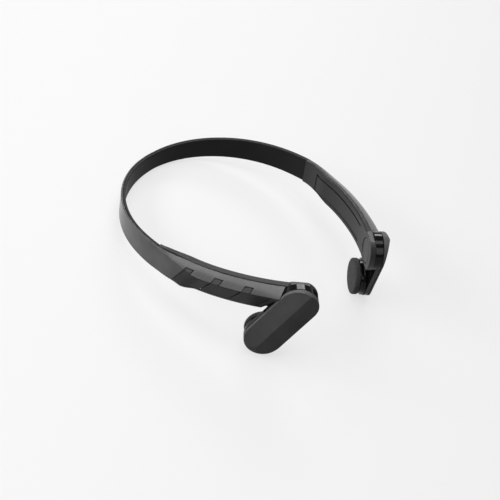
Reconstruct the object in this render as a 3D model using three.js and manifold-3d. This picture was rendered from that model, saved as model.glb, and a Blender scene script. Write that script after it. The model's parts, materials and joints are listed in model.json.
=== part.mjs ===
// Bone conduction headphones: a sprung neckband that widens into two curved housings, with a
// pivoting arm and a round contact pad at each end. Millimetres, +Z up, as worn: the wearer looks
// along -Y, +X is the wearer's left. The origin lies midway between the two arm hinges.
//
// The housings follow one flat curve. A place on it is (s, o, z): s is the length along the band's
// outer face from the middle of the neck (+ left, - right), o the distance inwards, z the height.

import * as THREE from 'three';
import { mergeVertices } from 'three/addons/utils/BufferGeometryUtils.js';
import Module from 'manifold-3d';

const wasm = await Module();
wasm.setup();

// ---------------------------------------------------------------- driving dimensions
// curve of the band's outer face, from the neck to the hinges
const NECK_RADIUS = 60;
const NECK_TURN = 75.6; // degrees
const SIDE_RADIUS = 76;
const SIDE_TURN = 35.2;
const TEMPLE_RADIUS = 117;
const TEMPLE_TURN = 26.4;

// band between the housings
const BAND_HEIGHT_NECK = 10;
const BAND_HEIGHT_SIDE = 13.6;
const BAND_SIDE_AT = 90; // length from the neck at which the band has its side height
const BAND_THICKNESS = 2.4;
const SKIN = 0.7;
const SPRING_THICKNESS = 0.4;
const SPRING_HEIGHT = 4;
const FLEX_THICKNESS = 0.3;
const FLEX_HEIGHT = 1.8;

// housings
const SHELL_START = 94;
const SHELL_START_DEPTH = 3.2;
const SHELL_FULL_AT = 113; // where the housing has its full depth
const HOUSING_TOP = 7.6;
const HOUSING_BOTTOM = 8.4;
const HOUSING_DEPTH = 6.3;
const WALL = 1.2;
const TOP_WALL = 1.6;
const COVER_WALL = 1;
const SEAM_DEPTH = 3.1; // where the cover's rounded top meets the inner shell
const ROUND_BOTTOM = 1.5; // height at which the cover's top rounding begins
const ROUND_STEPS = 4;
const LIP_START = 0.5; // how far the cover stands out where the housings begin
const LIP_AT = 106;
const FLARE = 1.8; // how far the cover stands out beside the arms
const FLARE_FROM = 140;
const FLARE_AT = 168;
const COVER_END = 168;
const BEVEL_FROM = 110;
const BEVEL_FULL = 118;
const KNEE = -1; // height where the cover's face turns into its lower bevel
const BEVEL_DEPTH = 2.8; // depth of the bevel's lower edge
const BEVEL_WALL = 1.3;
const TOP_CHAMFER = 0.8;
const RECESS_FROM = 104;
const RECESS_TO = 155;
const RECESS_TOP = 4.2;
const RECESS_BOTTOM = -6.4;
const RECESS_DEPTH = 0.3;
const CAVITY_FROM = 103;
const CAVITY_TO = 150;

// arms
const HINGE_AT = 169.8;
const HINGE_HEIGHT = -1.3;
const ARM_RADIUS = 10;
const ARM_LENGTH = 25.4; // hinge to pad centre
const ARM_WALL = 1;
const RIDGE_HEIGHT = 4.1;
const RIDGE_SHIFT = -0.5;
const REAR_EDGE = 2.4;
const FRONT_EDGE = 1.7;
const CROWN_LENGTH = 6.5; // from the lower end's edge to where the crown is flat
const CROWN_STEPS = 6;
const RIM_EDGE = 0.8; // height of the cover's rim over the curve
const BODY_OUTER = 0.4;
const BODY_INNER = 1.5;
const SWING_BACK = 32.5; // degrees back from straight down, where the arm meets the cover's end
const SWING_RIGHT = 32.5; // as stored
const SWING_LEFT = 20; // as stored
const TONGUE_DEPTH = 3.6;

// hinges
const WASHER_RADIUS = 5.5;
const WASHER_THICKNESS = 0.7;
const PIN_RADIUS = 2;
const PIN_HEAD_RADIUS = 3.3;
const PIN_HEAD = 0.5;
const PIN_BORE = 1;
const HOLD_RADIUS = 4.4;
const HOLD_THICKNESS = 0.3;
const RUNNING = 0.3;
const CAP_RADIUS = 6.4;
const CAP_THICKNESS = 0.8;

// transducers and pads
const PAD_RADIUS = 9.6;
const PAD_FACE = 7.8;
const PAD_WALL = 1.2;
const PAD_ROUND = 0.9;
const RING_RADIUS = 9.8;
const RING_BORE = 7.9;
const RING_TO = 4.8;
const RING_GROOVE = 0.6;
const YOKE_RADIUS = 7;
const YOKE_WALL = 0.8;
const YOKE_OUTER = 0.6;
const YOKE_INNER = 3.8;
const MAGNET_RADIUS = 4.4;
const COIL_WALL = 0.8;
const COIL_LENGTH = 2.8;
const SPRING_PLATE = 0.4;

// buttons
const BUTTON_FIRST = 109.7;
const BUTTON_PITCH = 15.2;
const BUTTON_COUNT = 3;
const BUTTON_SLANT = 0.65; // length along the band for each millimetre of height
const BUTTON_TAB = 3.8;
const BUTTON_TAB_HEIGHT = 3.3;
const BUTTON_WALL = 1;
const BUTTON_LIP = 0.9;
const BUTTON_TRAVEL = 0.4;

// electronics
const CEILING = 4.4; // free height under the cover's rounded top
const BOARD = [28, 4.8, 0.8];
const BOARD_AT = 134;
const RADIO = [9, 4.4, 1];
const RADIO_AT = -6; // from the board's middle
const MICROPHONE = [3.6, 2.6, 1];
const MICROPHONE_AT = 9;
const SWITCH = [3, 2.6, 0.7];
const MEMBRANE = 0.3;
const MEMBRANE_HEIGHT = 4;
const SWITCH_BOARD = 0.4;
const SWITCH_BOARD_HEIGHT = 3.2;
const STRIP_MARGIN = 2; // beyond the outer switches' middles
const CELL = [24, 7, 2.8];
const CELL_AT = 133;
const CELL_BOARD = [5, 9, 0.8];
const CELL_SPACE = 1.5; // between the cell and its board
const CONTACT_RADIUS = 1;
const CONTACT_SPACING = 5;
const CONTACT_AT = 134;
const CONTACT_HEIGHT = 2;
const CHARGE_MAGNET = [2.2, 2.6, 0.8];
const LEAD_RADIUS = 0.45;

// clearances and resolution
const GAP = 0.3;
const STOP_GAP = 0.4;
const STEP = 5;
const ARC_POINTS = 12;

// ---------------------------------------------------------------- finishes
const finish = (color, roughness, metalness = 0) => new THREE.MeshStandardMaterial({
  color,
  roughness,
  metalness,
});
const SATIN_BLACK = finish(0x2a2a2c, 0.35);
const MATTE_BLACK = finish(0x1f1f20, 0.7);
const GLOSS_BLACK = finish(0x0d0d0e, 0.12);
const PAD_RUBBER = finish(0x3a3a3b, 0.85);
const STEEL = finish(0xb9bcc0, 0.3, 1);
const SPRING_STEEL = finish(0x8f949a, 0.35, 1);
const MAGNET = finish(0x9a9ca2, 0.25, 1);
const COPPER = finish(0xb36a3c, 0.35, 1);
const GOLD = finish(0xd2a64a, 0.25, 1);
const BOARD_GREEN = finish(0x14402a, 0.5);
const FOIL = finish(0xa9acb0, 0.4, 0.6);
const FLEX = finish(0x8a5a22, 0.5);
const SILICONE = finish(0x3d3e40, 0.8);
const NYLON = finish(0xd8d5cc, 0.55);
const LEAD = finish(0x7c1f1c, 0.5);

// ---------------------------------------------------------------- the curve
const radians = THREE.MathUtils.degToRad;
const ARCS = [
  [NECK_RADIUS, radians(NECK_TURN)],
  [SIDE_RADIUS, radians(SIDE_TURN)],
  [TEMPLE_RADIUS, radians(TEMPLE_TURN)],
];

// place and heading on the left half of the curve, whose middle is at (0, 0)
function halfCurve(length) {
  let [x, y, heading, left] = [0, 0, 0, length];
  for (const [radius, turn] of ARCS) {
    const angle = Math.min(left / radius, turn);
    x += radius * (Math.sin(heading + angle) - Math.sin(heading));
    y += radius * (Math.cos(heading + angle) - Math.cos(heading));
    heading += angle;
    left -= radius * angle;
    if (left <= 1e-9) {
      return { x, y, heading };
    }
  }
  return { x: x + left * Math.cos(heading), y: y - left * Math.sin(heading), heading };
}

const HINGE = halfCurve(HINGE_AT);

function pointAt(s, o, z) {
  const { x, y, heading } = halfCurve(Math.abs(s));
  const side = s < 0 ? -1 : 1;
  return new THREE.Vector3(
    side * (x - o * Math.sin(heading)),
    y - o * Math.cos(heading) - HINGE.y,
    z,
  );
}

// local axes at s: X along the band towards the hinge, Y up, Z inwards
function frameAt(s, o, z) {
  const { heading } = halfCurve(s);
  const along = new THREE.Vector3(Math.cos(heading), -Math.sin(heading), 0);
  const inwards = new THREE.Vector3(-Math.sin(heading), -Math.cos(heading), 0);
  return new THREE.Matrix4()
    .makeBasis(along, new THREE.Vector3(0, 0, 1), inwards)
    .setPosition(pointAt(s, o, z));
}

const HINGE_FRAME = frameAt(HINGE_AT, 0, HINGE_HEIGHT);

const ramp = (s, from, to) => THREE.MathUtils.smoothstep(Math.abs(s), from, to);
const mix = THREE.MathUtils.lerp;

// ---------------------------------------------------------------- solids
// a closed geometry whose faces point out
function closed(points, triangles) {
  const geometry = new THREE.BufferGeometry();
  geometry.setAttribute('position', new THREE.Float32BufferAttribute(points.flat(), 3));
  geometry.setIndex(triangles.flat());
  return facingOut(geometry);
}

function facingOut(geometry) {
  const { array } = geometry.attributes.position;
  const index = geometry.index.array;
  let volume = 0;
  const corner = [0, 1, 2].map(() => new THREE.Vector3());
  for (let i = 0; i < index.length; i += 3) {
    corner.forEach((point, k) => point.fromArray(array, 3 * index[i + k]));
    volume += corner[0].dot(corner[1].clone().cross(corner[2]));
  }
  if (volume < 0) {
    for (let i = 0; i < index.length; i += 3) {
      [index[i], index[i + 1]] = [index[i + 1], index[i]];
    }
  }
  return geometry;
}

// a section of (o, z) points carried along the curve; a third value shifts a point along it
function sweep(sectionAt, from, to, step = STEP) {
  const count = Math.max(1, Math.ceil((to - from) / step));
  const sections = [];
  for (let i = 0; i <= count; i += 1) {
    const s = from + (to - from) * i / count;
    sections.push(sectionAt(s).map(([o, z, shift = 0]) => pointAt(s + shift, o, z).toArray()));
  }
  const size = sections[0].length;
  const triangles = [];
  for (let i = 0; i < count; i += 1) {
    for (let k = 0; k < size; k += 1) {
      const [a, b] = [i * size + k, i * size + (k + 1) % size];
      triangles.push([a, b, b + size], [a, b + size, a + size]);
    }
  }
  const cap = (s) => {
    const outline = sectionAt(s).map(([o, z]) => new THREE.Vector2(o, z));
    const faces = THREE.ShapeUtils.triangulateShape(outline, []);
    return THREE.ShapeUtils.isClockWise(outline) ? faces.map((face) => face.reverse()) : faces;
  };
  const last = count * size;
  cap(from).forEach(([a, b, c]) => triangles.push([b, a, c]));
  cap(to).forEach(([a, b, c]) => triangles.push([last + a, last + b, last + c]));
  return closed(sections.flat(), triangles);
}

function toSolid(geometry, matrix = new THREE.Matrix4()) {
  const bare = geometry.clone().applyMatrix4(matrix);
  bare.deleteAttribute('normal');
  bare.deleteAttribute('uv');
  const merged = facingOut(mergeVertices(bare, 1e-4));
  return new wasm.Manifold(new wasm.Mesh({
    numProp: 3,
    vertProperties: Float32Array.from(merged.attributes.position.array),
    triVerts: Uint32Array.from(merged.index.array),
  }));
}

function toGeometry(solid) {
  const { vertProperties, triVerts } = solid.getMesh();
  const geometry = new THREE.BufferGeometry();
  geometry.setAttribute('position', new THREE.BufferAttribute(vertProperties, 3));
  geometry.setIndex(new THREE.BufferAttribute(triVerts, 1));
  return geometry;
}

const cut = (geometry, ...tools) => toGeometry(tools.reduce(
  (solid, tool) => solid.subtract(toSolid(tool)),
  toSolid(geometry),
));
const join = (geometry, ...others) => toGeometry(others.reduce(
  (solid, other) => solid.add(toSolid(other)),
  toSolid(geometry),
));
const common = (geometry, ...others) => toGeometry(others.reduce(
  (solid, other) => solid.intersect(toSolid(other)),
  toSolid(geometry),
));

// an outline in X and Y, between two depths along Z
function slab(shape, from, to) {
  return new THREE.ExtrudeGeometry(shape, {
    depth: to - from,
    bevelEnabled: false,
    curveSegments: ARC_POINTS,
  }).translate(0, 0, from);
}

// a profile of (radius, depth) points turned about Z; the first and last lie on the axis, or the
// profile closes on itself
function turned(profile, segments = 2 * ARC_POINTS) {
  const points = profile.map(([radius, depth]) => new THREE.Vector2(radius, depth));
  return facingOut(new THREE.LatheGeometry(points, segments).rotateX(Math.PI / 2));
}

const disc = (radius, from, to) => turned([[0, from], [radius, from], [radius, to], [0, to]]);

const ring = (outer, inner, from, to) => turned([
  [inner, from],
  [outer, from],
  [outer, to],
  [inner, to],
  [inner, from],
]);

function block([length, height, depth], matrix) {
  return new THREE.BoxGeometry(length, height, depth).applyMatrix4(matrix);
}

const inHinge = (geometry) => geometry.applyMatrix4(HINGE_FRAME);
const mirrored = (geometry) => facingOut(mergeVertices(
  toGeometry(toSolid(geometry, new THREE.Matrix4().makeScale(-1, 1, 1))),
));

// ---------------------------------------------------------------- band and cover outlines
const bandHalf = (s) => mix(
  BAND_HEIGHT_NECK,
  BAND_HEIGHT_SIDE,
  Math.min(Math.abs(s) / BAND_SIDE_AT, 1),
) / 2;
const topAt = (s) => mix(bandHalf(s), HOUSING_TOP, ramp(s, SHELL_START, LIP_AT));
const bottomAt = (s) => mix(bandHalf(s), HOUSING_BOTTOM, ramp(s, LIP_AT, BEVEL_FULL));
const depthAt = (s) => mix(SHELL_START_DEPTH, HOUSING_DEPTH, ramp(s, SHELL_START, SHELL_FULL_AT));
const flareAt = (s) => THREE.MathUtils.clamp(
  (Math.abs(s) - FLARE_FROM) / (FLARE_AT - FLARE_FROM),
  0,
  1,
);
const standOut = (s) => mix(0, LIP_START, ramp(s, SHELL_START, LIP_AT))
  + (FLARE - LIP_START) * flareAt(s) ** 2;
const seamAt = (s) => mix(SKIN, SEAM_DEPTH, ramp(s, SHELL_START, SHELL_FULL_AT));
const wallAt = (s) => mix(SKIN, COVER_WALL, ramp(s, SHELL_START, LIP_AT));
const roundAt = (s) => mix(
  bandHalf(s) - SKIN / 2,
  ROUND_BOTTOM,
  ramp(s, SHELL_START, SHELL_FULL_AT),
);
const bevelAt = (s) => ramp(s, BEVEL_FROM, BEVEL_FULL);

// outer and inner corners of the cover's lower edge
const bevelOuter = (s) => mix(-standOut(s), BEVEL_DEPTH, bevelAt(s));
const bevelInner = (s) => mix(wallAt(s) - standOut(s), BEVEL_DEPTH + BEVEL_WALL, bevelAt(s));

// a quarter round from the seam out to the side, a distance inside the cover's surface
function topRound(s, inset, gap) {
  const [from, to] = [seamAt(s) + gap, inset + gap - standOut(s)];
  const height = Math.max(topAt(s) - roundAt(s) - inset - gap, 0.1);
  return Array.from({ length: ROUND_STEPS + 1 }, (_, i) => {
    const angle = Math.PI / 2 * i / ROUND_STEPS;
    return [mix(from, to, Math.sin(angle)), roundAt(s) + height * Math.cos(angle)];
  });
}

function coverSection(s) {
  const [out, wall, bottom] = [-standOut(s), wallAt(s), bottomAt(s)];
  return [
    ...topRound(s, 0, 0),
    [out, KNEE],
    [bevelOuter(s), -bottom],
    [bevelInner(s), -bottom],
    [out + wall, KNEE - BEVEL_WALL / 2],
    ...topRound(s, wall, 0).reverse(),
  ];
}

function shellSection(s) {
  const [top, bottom, depth, wall] = [topAt(s), bottomAt(s), depthAt(s), wallAt(s)];
  const chamfer = mix(SKIN / 2, TOP_CHAMFER, ramp(s, SHELL_START, SHELL_FULL_AT));
  return [
    [seamAt(s) + GAP, top],
    [depth - chamfer, top],
    [depth, top - chamfer],
    [depth, SKIN / 2 - bottom],
    [depth - SKIN / 2, -bottom],
    [bevelInner(s) + 2 * GAP, -bottom],
    [wall + GAP - standOut(s), KNEE - BEVEL_WALL / 2],
    ...topRound(s, wall, GAP).reverse(),
  ];
}

// a point at a height on the bevel, a depth below its surface; a slanted layer leans forward
function bevelPoint(s, z, depth, slant = 0) {
  const place = s + slant * z;
  const [x, y] = [bevelOuter(place) + standOut(place), KNEE + bottomAt(place)];
  const length = Math.hypot(x, y);
  const o = -standOut(place) + x * Math.max(KNEE - z, 0) / y;
  return [o + depth * y / length, z + depth * x / length, slant * z];
}

const bevelLayer = (s, near, far, top, bottom) => [
  bevelPoint(s, top, near),
  bevelPoint(s, bottom, near),
  bevelPoint(s, bottom, far),
  bevelPoint(s, top, far),
];

// ---------------------------------------------------------------- arm outlines
// the arm hangs down from the hinge in its own frame
function stadium(radius) {
  return new THREE.Shape()
    .absarc(0, 0, radius, 0, Math.PI, false)
    .lineTo(-radius, -ARM_LENGTH)
    .absarc(0, -ARM_LENGTH, radius, Math.PI, 2 * Math.PI, false)
    .closePath();
}

// the two facets of the outer face, and the crown
function armRoof(thickness) {
  const wide = 2 * ARM_RADIUS;
  const long = ARM_LENGTH + ARM_RADIUS;
  const slopeRear = (RIDGE_HEIGHT - REAR_EDGE) / (ARM_RADIUS + RIDGE_SHIFT);
  const slopeFront = (RIDGE_HEIGHT - FRONT_EDGE) / (ARM_RADIUS - RIDGE_SHIFT);
  const ridge = RIDGE_HEIGHT - thickness;
  const across = new THREE.Shape([
    new THREE.Vector2(-wide, wide),
    new THREE.Vector2(-wide, slopeRear * (wide + RIDGE_SHIFT) - ridge),
    new THREE.Vector2(RIDGE_SHIFT, -ridge),
    new THREE.Vector2(wide, slopeFront * (wide - RIDGE_SHIFT) - ridge),
    new THREE.Vector2(wide, wide),
  ]);
  const facets = slab(across, -2 * long, 2 * long).rotateX(Math.PI / 2);
  return [facets, armCrown(thickness)];
}

// the lower end drops all round like a dome, tilted so that its edge meets both facets' edges
function armCrown(thickness) {
  const wide = 2 * ARM_RADIUS;
  const radius = ARM_RADIUS - thickness;
  const flat = radius - CROWN_LENGTH;
  const [ridge, edge] = [RIDGE_HEIGHT - thickness, (REAR_EDGE + FRONT_EDGE) / 2 - thickness];
  const drop = Array.from({ length: CROWN_STEPS + 1 }, (_, i) => {
    const angle = Math.PI / 2 * i / CROWN_STEPS;
    return [flat + CROWN_LENGTH * Math.sin(angle), -mix(edge, ridge, Math.cos(angle))];
  });
  const dome = turned([[0, wide], [0, -ridge], ...drop, [wide, -edge], [wide, wide], [0, wide]]);
  dome.rotateY(-Math.atan((REAR_EDGE - FRONT_EDGE) / (2 * ARM_RADIUS)));
  const above = new THREE.BoxGeometry(2 * wide, 2 * wide, 2 * wide)
    .translate(0, wide - ARM_LENGTH, 0);
  return join(above, atPad(dome));
}

// everything in front of the housing's end, which the arm's sweep needs
function armRoom(depth) {
  const radius = ARM_RADIUS + STOP_GAP;
  const angle = Math.PI - radians(SWING_BACK);
  const reach = 3 * ARM_LENGTH;
  const corner = new THREE.Vector2(radius * Math.cos(angle), radius * Math.sin(angle));
  const shape = new THREE.Shape()
    .absarc(0, 0, radius, Math.PI / 2, angle, false)
    .lineTo(
      corner.x - reach * Math.sin(radians(SWING_BACK)),
      corner.y - reach * Math.cos(radians(SWING_BACK)),
    )
    .lineTo(reach, -reach)
    .lineTo(reach, radius)
    .closePath();
  return inHinge(slab(shape, -4 * FLARE, depth));
}

// ---------------------------------------------------------------- sub-parts
const COVER_ROOM = armRoom(HOUSING_DEPTH);
const SLOT_TOP = KNEE;

// the stretch of one button: its slanted rear line to the next button's
const buttonFrom = (index) => BUTTON_FIRST + index * BUTTON_PITCH;

function buttonSolid(index, grow) {
  const from = buttonFrom(index) + GAP - grow;
  const to = buttonFrom(index + 1) - GAP / 2 + grow;
  const near = grow > 0 ? -2 : 0;
  const far = grow > 0 ? 4 : BUTTON_WALL;
  const slice = (s, top, bottom) => {
    const [upper, lower] = [top, bottom].map((z) => bevelPoint(s, z, 0, BUTTON_SLANT));
    return [[upper, near], [lower, near], [lower, far], [upper, far]]
      .map(([[o, z, shift], depth]) => [o + depth, z, shift]);
  };
  const lip = (s) => BUTTON_LIP - bottomAt(s - BUTTON_SLANT * bottomAt(s)) - grow;
  const bar = sweep((s) => slice(s, SLOT_TOP + grow, lip(s)), from, to);
  const tab = sweep(
    (s) => slice(s, BUTTON_TAB_HEIGHT + grow, SLOT_TOP - GAP),
    from,
    from + BUTTON_TAB + 2 * grow,
  );
  return join(bar, tab);
}

function outerCover() {
  const whole = sweep(coverSection, -COVER_END, COVER_END);
  const slots = buttonSlots().map(mirrored);
  return cut(whole, COVER_ROOM, mirrored(COVER_ROOM), ...slots);
}

const buttonSlots = () => Array.from({ length: BUTTON_COUNT }, (_, i) => buttonSolid(i, GAP));

function innerShell(...extras) {
  const body = sweep(shellSection, SHELL_START, HINGE_AT);
  const tongue = common(
    disc(ARM_RADIUS, TONGUE_DEPTH, HOUSING_DEPTH),
    new THREE.BoxGeometry(4 * ARM_RADIUS, HOUSING_TOP + HOUSING_BOTTOM, 4 * HOUSING_DEPTH)
      .translate(0, (HOUSING_TOP - HOUSING_BOTTOM) / 2 - HINGE_HEIGHT, 0),
  );
  const cavity = sweep((s) => [
    [-HOUSING_DEPTH, topAt(s) - TOP_WALL],
    [depthAt(s) - WALL, topAt(s) - TOP_WALL],
    [depthAt(s) - WALL, WALL - bottomAt(s)],
    [-HOUSING_DEPTH, WALL - bottomAt(s)],
  ], CAVITY_FROM, CAVITY_TO);
  const pocketDepth = HOUSING_DEPTH - CAP_THICKNESS - GAP;
  const floor = pocketDepth - PIN_HEAD - 2 * RUNNING;
  const hinge = turned([
    [0, -HOUSING_DEPTH],
    [PIN_RADIUS + RUNNING, -HOUSING_DEPTH],
    [PIN_RADIUS + RUNNING, floor],
    [PIN_HEAD_RADIUS + RUNNING, floor],
    [PIN_HEAD_RADIUS + RUNNING, pocketDepth],
    [CAP_RADIUS + GAP, pocketDepth],
    [CAP_RADIUS + GAP, 2 * HOUSING_DEPTH],
    [0, 2 * HOUSING_DEPTH],
  ]);
  return cut(join(cut(body, armRoom(TONGUE_DEPTH)), inHinge(tongue)), cavity, inHinge(hinge), ...extras);
}

function markingRecess() {
  const section = (s) => [
    [depthAt(s) - RECESS_DEPTH, RECESS_TOP],
    [depthAt(s) - RECESS_DEPTH, RECESS_BOTTOM],
    [2 * HOUSING_DEPTH, RECESS_BOTTOM],
    [2 * HOUSING_DEPTH, RECESS_TOP],
  ];
  return sweep(section, RECESS_FROM, RECESS_TO);
}

const contactPlaces = [-0.5, 0.5].map((k) => frameAt(
  CONTACT_AT + k * CONTACT_SPACING,
  0,
  CONTACT_HEIGHT,
));

const contactHoles = () => contactPlaces.map((frame) => disc(
  CONTACT_RADIUS + GAP,
  HOUSING_DEPTH / 2,
  2 * HOUSING_DEPTH,
).applyMatrix4(frame));

const between = (near, far, half) => (s) => [
  [near, half(s)],
  [near, -half(s)],
  [far, -half(s)],
  [far, half(s)],
];

function bandInnerSkin() {
  const section = (s) => {
    const half = bandHalf(s) - GAP / 2;
    const [near, floor] = [SKIN + GAP, BAND_THICKNESS - SKIN];
    return [
      [near, half],
      [BAND_THICKNESS, half],
      [BAND_THICKNESS, -half],
      [near, -half],
      [near, SKIN - half],
      [floor, SKIN - half],
      [floor, half - SKIN],
      [near, half - SKIN],
    ];
  };
  return sweep(section, GAP - SHELL_START, SHELL_START - GAP, 1.5 * STEP);
}

// the spring and the flex lie in the channel between the two skins
const channel = (thickness) => (SKIN + BAND_THICKNESS - SKIN - thickness) / 2;

function bandSpring() {
  const near = channel(SPRING_THICKNESS);
  const section = () => [
    [near, FLEX_HEIGHT / 2],
    [near, FLEX_HEIGHT / 2 - SPRING_HEIGHT],
    [near + SPRING_THICKNESS, FLEX_HEIGHT / 2 - SPRING_HEIGHT],
    [near + SPRING_THICKNESS, FLEX_HEIGHT / 2],
  ];
  return sweep(section, 1 - SHELL_START, SHELL_START - 1, 1.5 * STEP);
}

function bandFlex() {
  const near = channel(FLEX_THICKNESS);
  const low = FLEX_HEIGHT / 2 + GAP;
  const section = () => [
    [near, low + FLEX_HEIGHT],
    [near, low],
    [near + FLEX_THICKNESS, low],
    [near + FLEX_THICKNESS, low + FLEX_HEIGHT],
  ];
  return sweep(section, 1 - SHELL_START, SHELL_START - 1, 1.5 * STEP);
}

const armCover = () => cut(
  common(slab(stadium(ARM_RADIUS), -2 * RIDGE_HEIGHT, -RIM_EDGE), ...armRoof(0)),
  common(slab(stadium(ARM_RADIUS - ARM_WALL), -2 * RIDGE_HEIGHT, 1), ...armRoof(ARM_WALL)),
);

function armBody() {
  const body = join(
    slab(stadium(ARM_RADIUS), -BODY_OUTER, BODY_INNER),
    disc(ARM_RADIUS, 0, TONGUE_DEPTH - GAP),
  );
  const opening = disc(YOKE_RADIUS + GAP, -2 * BODY_OUTER, 2 * BODY_INNER);
  const bore = turned([
    [0, -2 * BODY_OUTER],
    [PIN_RADIUS + RUNNING, -2 * BODY_OUTER],
    [PIN_RADIUS + RUNNING, TONGUE_DEPTH - 2 * GAP - WASHER_THICKNESS],
    [WASHER_RADIUS + GAP, TONGUE_DEPTH - 2 * GAP - WASHER_THICKNESS],
    [WASHER_RADIUS + GAP, 2 * TONGUE_DEPTH],
    [0, 2 * TONGUE_DEPTH],
  ]);
  return cut(body, atPad(opening), bore);
}

const holdSpring = () => ring(
  HOLD_RADIUS,
  PIN_RADIUS + RUNNING,
  -BODY_OUTER - GAP - HOLD_THICKNESS,
  -BODY_OUTER - GAP,
);

const hingeWasher = () => ring(
  WASHER_RADIUS,
  PIN_RADIUS + RUNNING,
  TONGUE_DEPTH - GAP - WASHER_THICKNESS,
  TONGUE_DEPTH - GAP,
);

function hingePin() {
  const headEnd = HOUSING_DEPTH - CAP_THICKNESS - GAP - RUNNING;
  const foot = -BODY_OUTER - 2 * GAP - HOLD_THICKNESS;
  return turned([
    [PIN_BORE, foot - PIN_HEAD],
    [PIN_HEAD_RADIUS, foot - PIN_HEAD],
    [PIN_HEAD_RADIUS, foot],
    [PIN_RADIUS, foot],
    [PIN_RADIUS, headEnd - PIN_HEAD],
    [PIN_HEAD_RADIUS, headEnd - PIN_HEAD],
    [PIN_HEAD_RADIUS, headEnd],
    [PIN_BORE, headEnd],
    [PIN_BORE, foot - PIN_HEAD],
  ], ARC_POINTS);
}

const hingeCap = () => disc(CAP_RADIUS, HOUSING_DEPTH - CAP_THICKNESS, HOUSING_DEPTH);

const atPad = (geometry) => geometry.translate(0, -ARM_LENGTH, 0);

const padCap = () => atPad(turned([
  [0, PAD_FACE - PAD_WALL],
  [PAD_RADIUS - PAD_WALL, PAD_FACE - PAD_WALL],
  [PAD_RADIUS - PAD_WALL, RING_TO + GAP],
  [PAD_RADIUS, RING_TO + GAP],
  [PAD_RADIUS, PAD_FACE - PAD_ROUND],
  [PAD_RADIUS - 0.3 * PAD_ROUND, PAD_FACE - 0.3 * PAD_ROUND],
  [PAD_RADIUS - PAD_ROUND, PAD_FACE],
  [0, PAD_FACE],
]));

const padRing = () => atPad(turned([
  [RING_BORE, BODY_INNER + GAP],
  [RING_RADIUS, BODY_INNER + GAP],
  [RING_RADIUS, mix(BODY_INNER, RING_TO, 0.4)],
  [RING_RADIUS - RING_GROOVE, mix(BODY_INNER, RING_TO, 0.5)],
  [RING_RADIUS - RING_GROOVE, RING_TO],
  [RING_BORE, RING_TO],
  [RING_BORE, BODY_INNER + GAP],
]));

const plateFrom = PAD_FACE - PAD_WALL - GAP - SPRING_PLATE;

const springPlate = () => atPad(disc(RING_BORE - GAP, plateFrom, plateFrom + SPRING_PLATE));

const yoke = () => atPad(turned([
  [0, -YOKE_OUTER],
  [YOKE_RADIUS, -YOKE_OUTER],
  [YOKE_RADIUS, YOKE_INNER],
  [YOKE_RADIUS - YOKE_WALL, YOKE_INNER],
  [YOKE_RADIUS - YOKE_WALL, YOKE_WALL - YOKE_OUTER],
  [0, YOKE_WALL - YOKE_OUTER],
]));

const magnet = () => atPad(disc(MAGNET_RADIUS, YOKE_WALL + GAP - YOKE_OUTER, YOKE_INNER));

function voiceCoil() {
  const middle = (MAGNET_RADIUS + YOKE_RADIUS - YOKE_WALL) / 2;
  const end = plateFrom - GAP;
  return atPad(ring(middle + COIL_WALL / 2, middle - COIL_WALL / 2, end - COIL_LENGTH, end));
}

// a round lead along a smooth line through the given points
function lead(points) {
  const path = new THREE.CatmullRomCurve3(points.map((point) => new THREE.Vector3(...point)));
  const round = new THREE.Shape().absarc(0, 0, LEAD_RADIUS, 0, 2 * Math.PI, false);
  return new THREE.ExtrudeGeometry(round, {
    steps: 6,
    curveSegments: 4,
    bevelEnabled: false,
    extrudePath: path,
  });
}

function armLead() {
  const inside = -BODY_OUTER - GAP - LEAD_RADIUS;
  return lead([
    [0, -HOLD_RADIUS - 2 * LEAD_RADIUS, inside],
    [1, -(HOLD_RADIUS + ARM_LENGTH - YOKE_RADIUS) / 2, inside - GAP],
    [0, YOKE_RADIUS - ARM_LENGTH - 2 * LEAD_RADIUS, inside],
  ]);
}

// a piece on the bevel's layers, centred under one button
const switchMiddle = (index) => buttonFrom(index) + BUTTON_PITCH / 2 + BUTTON_SLANT * 0.6 * KNEE;
const membraneTop = BUTTON_WALL + BUTTON_TRAVEL + GAP;
const switchTop = membraneTop + MEMBRANE + GAP;
const boardTop = switchTop + SWITCH[2] + GAP;

function bevelFrame(s, z, depth) {
  const tilt = Math.atan2(bevelOuter(s) + standOut(s), KNEE + bottomAt(s));
  const [o, height] = bevelPoint(s, z, depth);
  return frameAt(s, o, height).multiply(new THREE.Matrix4().makeRotationX(-tilt));
}

const SWITCH_HEIGHT = (SLOT_TOP + BUTTON_LIP - HOUSING_BOTTOM) / 2;

const tactSwitch = (index) => block(
  SWITCH,
  bevelFrame(switchMiddle(index), SWITCH_HEIGHT, switchTop + SWITCH[2] / 2),
);

// straight before the first switch, where the bevel is still turning
function buttonStrip(near, far, height) {
  const first = switchMiddle(0);
  const [top, bottom] = [SWITCH_HEIGHT + height / 2, SWITCH_HEIGHT - height / 2];
  return sweep(
    (s) => bevelLayer(Math.max(s, first), near, far, top, bottom),
    first - STRIP_MARGIN,
    switchMiddle(BUTTON_COUNT - 1) + STRIP_MARGIN,
  );
}

const buttonMembrane = () => buttonStrip(membraneTop, membraneTop + MEMBRANE, MEMBRANE_HEIGHT);
const switchBoard = () => buttonStrip(boardTop, boardTop + SWITCH_BOARD, SWITCH_BOARD_HEIGHT);

const BOARD_DEPTH = HOUSING_DEPTH - WALL - CHARGE_MAGNET[2] - 2 * GAP - BOARD[2] / 2;
const BOARD_HEIGHT = CEILING - BOARD[1] / 2;

function onBoard([length, height, depth], along) {
  const frame = frameAt(BOARD_AT, BOARD_DEPTH - (BOARD[2] + depth) / 2 - GAP, BOARD_HEIGHT);
  return block([length, height, depth], frame.multiply(
    new THREE.Matrix4().makeTranslation(along, 0, 0),
  ));
}

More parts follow.
